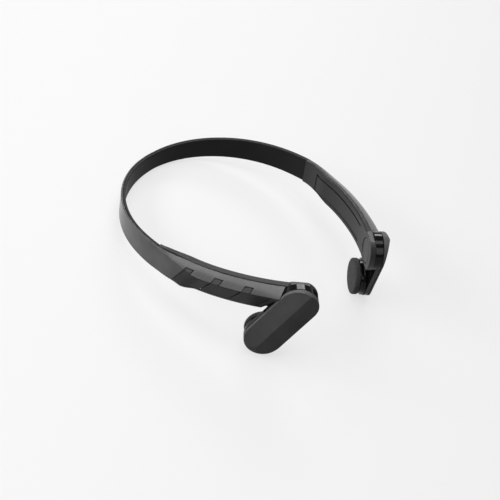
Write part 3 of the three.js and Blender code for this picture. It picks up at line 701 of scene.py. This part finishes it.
def hinge_hole():
    """The pin's bore, with the pockets for its head and for the plug."""
    pocket = HOUSING_DEPTH - CAP_THICKNESS - GAP
    floor = pocket - PIN_HEAD - 2 * GAP
    hole = turned([
        (0, -HOUSING_DEPTH), (PIN_RADIUS + GAP, -HOUSING_DEPTH), (PIN_RADIUS + GAP, floor),
        (PIN_HEAD_RADIUS + GAP, floor), (PIN_HEAD_RADIUS + GAP, pocket),
        (CAP_RADIUS + GAP, pocket), (CAP_RADIUS + GAP, 2 * HOUSING_DEPTH), (0, 2 * HOUSING_DEPTH)])
    return moved(hole, hinge_frame("left"))


def housing_cavity():
    return sweep(lambda s: [
        (-HOUSING_DEPTH, top_at(s) - TOP_WALL), (depth_at(s) - WALL, top_at(s) - TOP_WALL),
        (depth_at(s) - WALL, WALL - bottom_at(s)), (-HOUSING_DEPTH, WALL - bottom_at(s)),
    ], CAVITY_FROM, CAVITY_TO, CUT_STEP)


def panel_cuts():
    """The shallow bare panel on the inner face, and the groove along its top."""
    def cut(depth, low):
        return sweep(lambda s: [
            (depth_at(s) - depth, RECESS_TOP), (depth_at(s) - depth, low),
            (2 * HOUSING_DEPTH, low), (2 * HOUSING_DEPTH, RECESS_TOP),
        ], RECESS_FROM, RECESS_TO, PANEL_STEP)

    return [cut(RECESS_DEPTH, RECESS_BOTTOM), cut(GROOVE_DEPTH, RECESS_TOP - GROOVE_WIDTH)]


def contact_holes():
    hole = CONTACT_RADIUS + GAP
    return [moved(disc(hole, HOUSING_DEPTH / 2, 2 * HOUSING_DEPTH, HOLE_SEGMENTS),
                  curve_frame(at, CONTACT_HEIGHT)) for at in CONTACTS_AT]


# ---------------------------------------------------------------- the pieces
def make_cover(context, step):
    mesh = sweep(cover_section, -FLARE_AT, FLARE_AT, step)
    cuts = [arm_room(HOUSING_DEPTH, side) for side in SWING]
    cuts += [moved(slot, MIRROR) for slot in key_slots()]
    mesh = combine(mesh, *(("DIFFERENCE", cut) for cut in cuts))
    place(context, "outer_cover_shell", mesh, Matrix(), "headband", "cover_plastic",
          finish("cover_plastic"), ("outer_cover",))


def make_lining(context, step):
    mesh = sweep(lining_section, GAP - SHELL_START, SHELL_START - GAP, step)
    place(context, "band_lining", mesh, Matrix(), "headband", "band_silicone",
          finish("band_lining"), ("band_inner_skin",))


def hinge_tongue():
    """The round end of an inner shell, which carries the hinge, cut to the housing's height."""
    rounded = 0.3 * TONGUE_EDGE
    tongue = turned([(0, TONGUE_DEPTH), (ARM_RADIUS, TONGUE_DEPTH),
                     (ARM_RADIUS, HOUSING_DEPTH - TONGUE_EDGE),
                     (ARM_RADIUS - rounded, HOUSING_DEPTH - rounded),
                     (ARM_RADIUS - TONGUE_EDGE, HOUSING_DEPTH), (0, HOUSING_DEPTH)],
                    FINE_SEGMENTS)
    width, reach = 2 * ARM_RADIUS, 4 * HOUSING_DEPTH
    low, high = -HOUSING_BOTTOM - HINGE_HEIGHT, HOUSING_TOP - HINGE_HEIGHT
    trim = prism([(-width, low), (width, low), (width, high), (-width, high)], -reach, reach)
    return moved(combine(tongue, ("INTERSECT", trim)), hinge_frame("left"))


def make_inner_shell(context, side, step, seam):
    body = sweep(lambda s: shell_section(s, seam), SHELL_START, HINGE_AT, step)
    cuts = panel_cuts() if side == "left" else key_slots() + contact_holes()
    mesh = combine(body, ("DIFFERENCE", arm_room(TONGUE_DEPTH, "left")),
                   ("UNION", hinge_tongue()), ("DIFFERENCE", housing_cavity()),
                   ("DIFFERENCE", hinge_hole()), *(("DIFFERENCE", cut) for cut in cuts))
    place(context, f"{side}_housing_shell", mesh, MIRROR if side == "right" else Matrix(),
          "headband", "shell_plastic", finish("shell_plastic"), (f"{side}_inner_shell",))


def make_hinge_plug(context, side):
    plug = turned([
        (0, HOUSING_DEPTH - CAP_THICKNESS), (CAP_RADIUS, HOUSING_DEPTH - CAP_THICKNESS),
        (CAP_RADIUS, HOUSING_DEPTH - CAP_EDGE), (CAP_RADIUS - CAP_EDGE, HOUSING_DEPTH),
        (CAP_RADIUS - CAP_RIM, HOUSING_DEPTH),
        (CAP_RADIUS - CAP_DISH, HOUSING_DEPTH - CAP_DISH_DEPTH),
        (0, HOUSING_DEPTH - CAP_DISH_DEPTH)])
    place(context, f"{side}_hinge_plug", plug, hinge_frame(side), "headband", "shell_plastic",
          finish("arm_plastic"), (f"{side}_hinge_cap",))


DOWN_THE_ARM = Matrix.Translation((0, -ARM_LENGTH, 0))


def stadium(radius, steps=64):
    return (arc(0, 0, radius, 0, math.pi, steps)
            + arc(0, -ARM_LENGTH, radius, math.pi, 2 * math.pi, steps))


def arm_roof(thickness):
    """Everything under the two facets of the outer face."""
    wide, long = 2 * ARM_RADIUS, ARM_LENGTH + ARM_RADIUS
    rear = (RIDGE_HEIGHT - REAR_EDGE) / (ARM_RADIUS + RIDGE_SHIFT)
    front = (RIDGE_HEIGHT - FRONT_EDGE) / (ARM_RADIUS - RIDGE_SHIFT)
    ridge = RIDGE_HEIGHT - thickness
    across = [(-wide, wide), (-wide, rear * (wide + RIDGE_SHIFT) - ridge), (RIDGE_SHIFT, -ridge),
              (wide, front * (wide - RIDGE_SHIFT) - ridge), (wide, wide)]
    return moved(prism(across, -2 * long, 2 * long), Matrix.Rotation(math.pi / 2, 4, "X"))


def arm_crown(thickness):
    """Everything under the lower end's dome, tilted so that its edge meets both facets' edges."""
    wide, flat = 2 * ARM_RADIUS, ARM_RADIUS - thickness - CROWN_LENGTH
    ridge, edge = RIDGE_HEIGHT - thickness, (REAR_EDGE + FRONT_EDGE) / 2 - thickness
    drop = [(flat + CROWN_LENGTH * math.sin(a), -mix(edge, ridge, math.cos(a)))
            for a in (math.pi / 2 * i / CROWN_STEPS for i in range(CROWN_STEPS + 1))]
    dome = turned([(0, wide), (0, -ridge)] + drop + [(wide, -edge), (wide, wide)], FINE_SEGMENTS)
    tilt = Matrix.Rotation(-math.atan((REAR_EDGE - FRONT_EDGE) / (2 * ARM_RADIUS)), 4, "Y")
    dome = moved(dome, DOWN_THE_ARM @ tilt)
    above = prism([(-wide, -ARM_LENGTH), (wide, -ARM_LENGTH), (wide, 2 * wide - ARM_LENGTH),
                   (-wide, 2 * wide - ARM_LENGTH)], -wide, wide)
    return combine(above, ("UNION", dome))


def make_arm_shell(context, side):
    """The arm's faceted outer shell, hollow towards the case."""
    outer = combine(prism(stadium(ARM_RADIUS), -2 * RIDGE_HEIGHT, -RIM_EDGE),
                    ("INTERSECT", arm_roof(0)), ("INTERSECT", arm_crown(0)))
    inner = combine(prism(stadium(ARM_RADIUS - ARM_WALL), -2 * RIDGE_HEIGHT, 1),
                    ("INTERSECT", arm_roof(ARM_WALL)), ("INTERSECT", arm_crown(ARM_WALL)))
    place(context, f"{side}_arm_shell", combine(outer, ("DIFFERENCE", inner)), arm_frame(side),
          f"{side}_arm", "cover_plastic", finish("arm_plastic"), (f"{side}_arm_cover",),
          FACET_ANGLE)


def make_arm_case(context, side):
    """The arm's glossy inner half with its hinge barrel, and a lip that closes its gap."""
    barrel = disc(ARM_RADIUS, 0, TONGUE_DEPTH - BARREL_PLAY, FINE_SEGMENTS)
    bore_end = TONGUE_DEPTH - 2 * GAP - WASHER_THICKNESS
    bore = turned([(0, -2 * BODY_OUTER), (PIN_RADIUS + GAP, -2 * BODY_OUTER),
                   (PIN_RADIUS + GAP, bore_end), (WASHER_RADIUS + GAP, bore_end),
                   (WASHER_RADIUS + GAP, 2 * TONGUE_DEPTH), (0, 2 * TONGUE_DEPTH)])
    opening = moved(disc(YOKE_RADIUS + GAP, -2 * RIM_EDGE, 2 * BODY_INNER), DOWN_THE_ARM)
    plate = prism(stadium(ARM_RADIUS), -BODY_OUTER, BODY_INNER)
    lip = prism(stadium(ARM_RADIUS - ARM_WALL - GAP), -RIM_EDGE - CLOSING_LIP, 0)
    mesh = combine(plate, ("UNION", lip), ("UNION", barrel), ("DIFFERENCE", opening),
                   ("DIFFERENCE", bore))
    place(context, f"{side}_arm_case", mesh, arm_frame(side), f"{side}_arm", "gloss_plastic",
          finish("gloss_plastic"), (f"{side}_arm_body",))


def make_pad(context, side):
    """The soft cap that rests on the cheekbone, very slightly dished."""
    cap = turned([(0, PAD_FACE - PAD_WALL), (PAD_RADIUS - PAD_WALL, PAD_FACE - PAD_WALL),
                  (PAD_RADIUS - PAD_WALL, RING_TO + GAP), (PAD_RADIUS - PAD_LIP, RING_TO + GAP),
                  (PAD_RADIUS, RING_TO + GAP + PAD_LIP)]
                 + arc(PAD_RADIUS - PAD_ROUND, PAD_FACE - PAD_ROUND, PAD_ROUND, 0, math.pi / 2,
                       PAD_STEPS)
                 + [(PAD_DISH_AT * PAD_RADIUS, PAD_FACE - PAD_DISH_START),
                    (0, PAD_FACE - PAD_DISH_DEPTH)])
    pad = place(context, f"{side}_pad", cap, arm_frame(side) @ DOWN_THE_ARM, f"{side}_arm",
                "pad_rubber", finish("pad_rubber"), (f"{side}_contact_pad",))


def make_pad_ring(context, side):
    """The stepped ring behind the pad, with a lip at each end that closes its gap."""
    step_at = mix(BODY_INNER, RING_TO, RING_STEP_AT)
    inside, foot = PAD_RADIUS - PAD_WALL - RING_PLAY, BODY_INNER + GAP
    ring = turned([(RING_BORE, BODY_INNER), (RING_RADIUS - CLOSING_LIP, BODY_INNER),
                   (RING_RADIUS - CLOSING_LIP, foot), (RING_RADIUS - RING_EDGE, foot),
                   (RING_RADIUS, foot + RING_EDGE), (RING_RADIUS, step_at - RING_EDGE),
                   (RING_RADIUS - RING_EDGE, step_at),
                   (RING_RADIUS - RING_GROOVE, step_at + RING_CHAMFER),
                   (RING_RADIUS - RING_GROOVE, RING_TO - RING_CHAMFER),
                   (RING_RADIUS - RING_GROOVE - RING_CHAMFER, RING_TO), (inside, RING_TO),
                   (inside, RING_TO + CLOSING_LIP), (RING_BORE, RING_TO + CLOSING_LIP)])
    place(context, f"{side}_pad_ring", ring, arm_frame(side) @ DOWN_THE_ARM, f"{side}_arm",
          "gloss_plastic", finish("gloss_plastic"), (f"{side}_transducer_ring",), RING_ANGLE)


def make_keys(context, extra):
    for i in range(BUTTON_COUNT):
        place(context, f"key_{i + 1}", button_mesh(i, -extra, KEY_STEP), MIRROR,
              f"button_{i + 1}", "gloss_plastic", finish("key_plastic"), (f"button_{i + 1}",))


CAD_FINISH = {
    "spring_steel": "spring_steel", "flex": "flex", "foil": "pouch_foil", "board": "board",
    "steel": "steel", "silicone": "silicone", "gold": "gold_plating", "magnet": "magnet_plating",
    "nylon": "nylon", "copper": "copper_winding", "lead_insulation": "lead_insulation",
    "cover_plastic": "cover_plastic", "shell_plastic": "shell_plastic",
    "gloss_plastic": "gloss_plastic", "pad_rubber": "pad_rubber", "band_silicone": "band_lining",
}


def dress_cad_nodes():
    """Every CAD node takes the finish of its slot, hidden or not."""
    for part in frame["record"]["subparts"]:
        node = frame["nodes"][part["node"]]
        node.data.materials.clear()
        node.data.materials.append(finish(CAD_FINISH[part["material_slot"]]))


# ---------------------------------------------------------------- stage
# the photograph's viewpoint, in the headphones' own axes
CAMERA_AT = Vector((-473.8225, -269.1721, 417.6015))
CAMERA_RIGHT = Vector((0.64180632, -0.75478974, 0.13556214))
CAMERA_UP = Vector((0.39507343, 0.47694776, 0.78513555))
SENSOR = 36

MIDDLE = (0, 40, 10)
# azimuth and elevation in degrees, distance in millimetres, size in metres, power in watts
LAMPS = {
    "key_softbox": (152, 36, 900, (0.7, 0.22), 8.5),
    "top_softbox": (-150, 89, 900, (0.6, 0.7), 6.5),
    "rear_softbox": (34, 36, 900, (0.45, 0.2), 3.5),
    "side_strip": (-108, 32, 800, (0.08, 0.5), 0.5),
}

FLOOR_SIZE = 3.0
FLOOR_DROP = 0.0002
FLOOR_COLOR = (0.8, 0.8, 0.8, 1)
FLOOR_GLOW = (0.86, 0.86, 0.86, 1)
FLOOR_BOUNCE = (0.1, 0.1, 0.1, 1)
GLOW_SHARE = 0.8  # how much of the floor's look is its own brightness
HORIZON_COLOR = (0.94, 0.94, 0.94, 1)
OVERHEAD_COLOR = (0.16, 0.16, 0.165, 1)
HORIZON_TOP = 0.02  # sines of the angles between which the backdrop darkens
OVERHEAD_FROM = 0.3
WORLD_FILL = (0.06, 0.06, 0.0615, 1)


def toward(azimuth, elevation, distance):
    """A point in the headphones' own axes, seen from the middle of the housings."""
    turn, lift = math.radians(azimuth), math.radians(elevation)
    level = distance * math.cos(lift)
    return (level * math.cos(turn), MIDDLE[1] + level * math.sin(turn), distance * math.sin(lift))


def add_lamp(context, name, azimuth, elevation, distance, size, power):
    """An area lamp that faces the middle of the headphones."""
    data = bpy.data.lights.new(name, "AREA")
    data.shape = "RECTANGLE"
    data.size, data.size_y = size
    data.energy = power
    lamp = bpy.data.objects.new(name, data)
    lamp.location = OWN @ Vector(toward(azimuth, elevation, distance))
    aim = (OWN @ Vector(MIDDLE)) - lamp.location
    lamp.rotation_euler = aim.to_track_quat("-Z", "Y").to_euler()
    context.scene.collection.objects.link(lamp)


def shown_rays(nodes, links):
    """1 for the rays that show the background: camera, glossy and transmission."""
    path = nodes.new("ShaderNodeLightPath")
    shown = path.outputs["Is Camera Ray"]
    for name in ("Is Glossy Ray", "Is Transmission Ray"):
        either = nodes.new("ShaderNodeMath")
        either.operation = "MAXIMUM"
        links.new(shown, either.inputs[0])
        links.new(path.outputs[name], either.inputs[1])
        shown = either.outputs[0]
    return shown


def add_camera(context, lens):
    data = bpy.data.cameras.new("camera")
    data.lens = lens
    data.sensor_width = SENSOR
    data.clip_end = 20
    camera = bpy.data.objects.new("camera", data)
    turn = OWN.to_3x3().normalized()
    right, up = turn @ CAMERA_RIGHT, turn @ CAMERA_UP
    camera.matrix_world = Matrix.Translation(OWN @ CAMERA_AT) @ Matrix(
        (right, up, right.cross(up))).transposed().to_4x4()
    context.scene.collection.objects.link(camera)
    context.scene.camera = camera


def add_floor(context):
    size = FLOOR_SIZE
    floor = bpy.data.objects.new("floor", mesh_of(
        [(-size, -size, 0), (size, -size, 0), (size, size, 0), (-size, size, 0)], [(0, 1, 2, 3)]))
    floor.location.z = -FLOOR_DROP
    floor.data.materials.append(floor_material())
    context.scene.collection.objects.link(floor)


def add_world(scene):
    """A pale backdrop at the horizon, darker overhead, and an even dim fill for the rest."""
    world = bpy.data.worlds.new("studio")
    world.use_nodes = True
    scene.world = world
    nodes, links = world.node_tree.nodes, world.node_tree.links
    coords = nodes.new("ShaderNodeTexCoord")
    axes = nodes.new("ShaderNodeSeparateXYZ")
    links.new(coords.outputs["Generated"], axes.inputs[0])
    height = nodes.new("ShaderNodeMapRange")
    height.interpolation_type = "SMOOTHSTEP"
    height.inputs["From Min"].default_value = HORIZON_TOP
    height.inputs["From Max"].default_value = OVERHEAD_FROM
    links.new(axes.outputs["Z"], height.inputs["Value"])
    backdrop, shade = nodes.new("ShaderNodeMix"), nodes.new("ShaderNodeMix")
    for node, low, high in ((backdrop, HORIZON_COLOR, OVERHEAD_COLOR),
                            (shade, WORLD_FILL, WORLD_FILL)):
        node.data_type = "RGBA"
        node.inputs[6].default_value = low
        node.inputs[7].default_value = high
    links.new(height.outputs["Result"], backdrop.inputs["Factor"])
    links.new(shown_rays(nodes, links), shade.inputs["Factor"])
    links.new(backdrop.outputs[2], shade.inputs[7])
    links.new(shade.outputs[2], nodes["Background"].inputs["Color"])


def floor_material():
    """A pale floor that is partly bright by itself, so that it is even and keeps a shadow."""
    material = bpy.data.materials.new("pale_floor")
    material.use_nodes = True
    nodes, links = material.node_tree.nodes, material.node_tree.links
    shader = nodes["Principled BSDF"]
    coords = nodes.new("ShaderNodeTexCoord")
    grain = nodes.new("ShaderNodeTexNoise")
    grain.inputs["Scale"].default_value = 40.0
    links.new(coords.outputs["Object"], grain.inputs["Vector"])
    level = nodes.new("ShaderNodeMapRange")
    level.inputs["To Min"].default_value = 0.45
    level.inputs["To Max"].default_value = 0.6
    links.new(grain.outputs["Fac"], level.inputs["Value"])
    links.new(level.outputs["Result"], shader.inputs["Roughness"])
    shader.inputs["Base Color"].default_value = FLOOR_COLOR
    glow = nodes.new("ShaderNodeEmission")
    glow.inputs["Color"].default_value = FLOOR_GLOW
    dark = nodes.new("ShaderNodeBsdfDiffuse")
    dark.inputs["Color"].default_value = FLOOR_BOUNCE
    seen = nodes.new("ShaderNodeMixShader")
    seen.inputs[0].default_value = GLOW_SHARE
    links.new(shader.outputs[0], seen.inputs[1])
    links.new(glow.outputs[0], seen.inputs[2])
    both = nodes.new("ShaderNodeMixShader")
    links.new(shown_rays(nodes, links), both.inputs[0])
    links.new(dark.outputs[0], both.inputs[1])
    links.new(seen.outputs[0], both.inputs[2])
    links.new(both.outputs[0], nodes["Material Output"].inputs["Surface"])
    return material


def make_stage(context, lens):
    add_camera(context, lens)
    add_floor(context)
    add_world(context.scene)
    for name, settings in LAMPS.items():
        add_lamp(context, name, *settings)
    context.scene.view_settings.view_transform = "Standard"


# ---------------------------------------------------------------- add-on
class HeadphonesSettings(bpy.types.PropertyGroup):
    """What can be chosen before the pieces are built."""

    step: bpy.props.FloatProperty(
        name="Section spacing", description="Distance between two sections of a swept shell",
        default=0.0015, min=0.0005, max=0.005, unit="LENGTH", subtype="DISTANCE")
    seam: bpy.props.FloatProperty(
        name="Seam width", description="Gap between the cover and the inner shells",
        default=0.0005, min=0.0003, max=0.001, unit="LENGTH", subtype="DISTANCE")
    key_gap: bpy.props.FloatProperty(
        name="Key gap", description="Extra gap around each key, beyond its slot's clearance",
        default=0.00012, min=0, max=0.0003, unit="LENGTH", subtype="DISTANCE")
    cover_color: bpy.props.FloatVectorProperty(
        name="Cover", description="Colour of the outer cover",
        default=(0.075, 0.075, 0.076), min=0, max=1, subtype="COLOR")
    key_color: bpy.props.FloatVectorProperty(
        name="Keys", description="Colour of the three keys",
        default=(0.045, 0.045, 0.046), min=0, max=1, subtype="COLOR")
    shell_color: bpy.props.FloatVectorProperty(
        name="Inner shells", description="Colour of the housings' inner halves",
        default=(0.01, 0.01, 0.0103), min=0, max=1, subtype="COLOR")
    lining_color: bpy.props.FloatVectorProperty(
        name="Band lining", description="Colour of the band's inner face",
        default=(0.008, 0.008, 0.0083), min=0, max=1, subtype="COLOR")
    gloss_color: bpy.props.FloatVectorProperty(
        name="Arm cases", description="Colour of the polished arm cases and pad rings",
        default=(0.004, 0.004, 0.0042), min=0, max=1, subtype="COLOR")
    arm_color: bpy.props.FloatVectorProperty(
        name="Arm covers", description="Colour of the arms' outer covers",
        default=(0.07, 0.07, 0.071), min=0, max=1, subtype="COLOR")
    pad_color: bpy.props.FloatVectorProperty(
        name="Contact pads", description="Colour of the rubber contact pads",
        default=(0.036, 0.036, 0.037), min=0, max=1, subtype="COLOR")
    lens: bpy.props.FloatProperty(
        name="Lens", description="Focal length of the view's camera on a 36 mm sensor",
        default=99.70, min=20, max=300, unit="CAMERA")


class HeadphonesOperator:
    bl_options = {"REGISTER", "UNDO"}

    def execute(self, context):
        self.build(context, context.scene.headphones)
        return {"FINISHED"}


class HEADPHONES_OT_cover(HeadphonesOperator, bpy.types.Operator):
    """Build the outer cover of the band and both housings"""
    bl_idname = "headphones.cover"
    bl_label = "Outer cover"

    def build(self, context, settings):
        make_cover(context, settings.step * 1000)


class HEADPHONES_OT_lining(HeadphonesOperator, bpy.types.Operator):
    """Build the softer inner face of the band"""
    bl_idname = "headphones.lining"
    bl_label = "Band lining"

    def build(self, context, settings):
        make_lining(context, settings.step * 1000)


class HEADPHONES_OT_inner_shells(HeadphonesOperator, bpy.types.Operator):
    """Build the inner halves of both housings and their hinge plugs"""
    bl_idname = "headphones.inner_shells"
    bl_label = "Inner shells"

    def build(self, context, settings):
        for side in SWING:
            make_inner_shell(context, side, settings.step * 1000, settings.seam * 1000)
            make_hinge_plug(context, side)


class HEADPHONES_OT_arms(HeadphonesOperator, bpy.types.Operator):
    """Build both arms with their rings and contact pads"""
    bl_idname = "headphones.arms"
    bl_label = "Arms and pads"

    def build(self, context, settings):
        for side in SWING:
            for make in (make_arm_shell, make_arm_case, make_pad, make_pad_ring):
                make(context, side)


class HEADPHONES_OT_keys(HeadphonesOperator, bpy.types.Operator):
    """Build the three slanted keys"""
    bl_idname = "headphones.keys"
    bl_label = "Keys"

    def build(self, context, settings):
        make_keys(context, settings.key_gap * 1000)


class HEADPHONES_OT_inner_parts(HeadphonesOperator, bpy.types.Operator):
    """Give every carried-over part its finish"""
    bl_idname = "headphones.inner_parts"
    bl_label = "Inner parts"

    def build(self, context, settings):
        dress_cad_nodes()


class HEADPHONES_OT_stage(HeadphonesOperator, bpy.types.Operator):
    """Set up the floor, the lights and the camera"""
    bl_idname = "headphones.stage"
    bl_label = "Stage"

    def build(self, context, settings):
        make_stage(context, settings.lens)


STEPS = (HEADPHONES_OT_cover, HEADPHONES_OT_lining, HEADPHONES_OT_inner_shells,
         HEADPHONES_OT_arms, HEADPHONES_OT_keys, HEADPHONES_OT_inner_parts, HEADPHONES_OT_stage)


class HEADPHONES_PT_panel(bpy.types.Panel):
    """The headphones' settings and building steps"""
    bl_idname = "HEADPHONES_PT_panel"
    bl_label = "Headphones"
    bl_space_type = "VIEW_3D"
    bl_region_type = "UI"
    bl_category = "Headphones"

    def draw(self, context):
        settings = context.scene.headphones
        for name in HeadphonesSettings.__annotations__:
            self.layout.prop(settings, name)
        for step in STEPS:
            self.layout.operator(step.bl_idname)


CLASSES = (HeadphonesSettings, *STEPS, HEADPHONES_PT_panel)


def register():
    for item in CLASSES:
        bpy.utils.register_class(item)
    bpy.types.Scene.headphones = bpy.props.PointerProperty(type=HeadphonesSettings)


def unregister():
    del bpy.types.Scene.headphones
    for item in reversed(CLASSES):
        bpy.utils.unregister_class(item)


def main():
    register()
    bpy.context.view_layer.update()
    bpy.ops.headphones.cover()
    bpy.ops.headphones.lining()
    bpy.ops.headphones.inner_shells()
    bpy.ops.headphones.arms()
    bpy.ops.headphones.keys()
    bpy.ops.headphones.inner_parts()
    bpy.ops.headphones.stage()


if __name__ == "__main__":
    main()
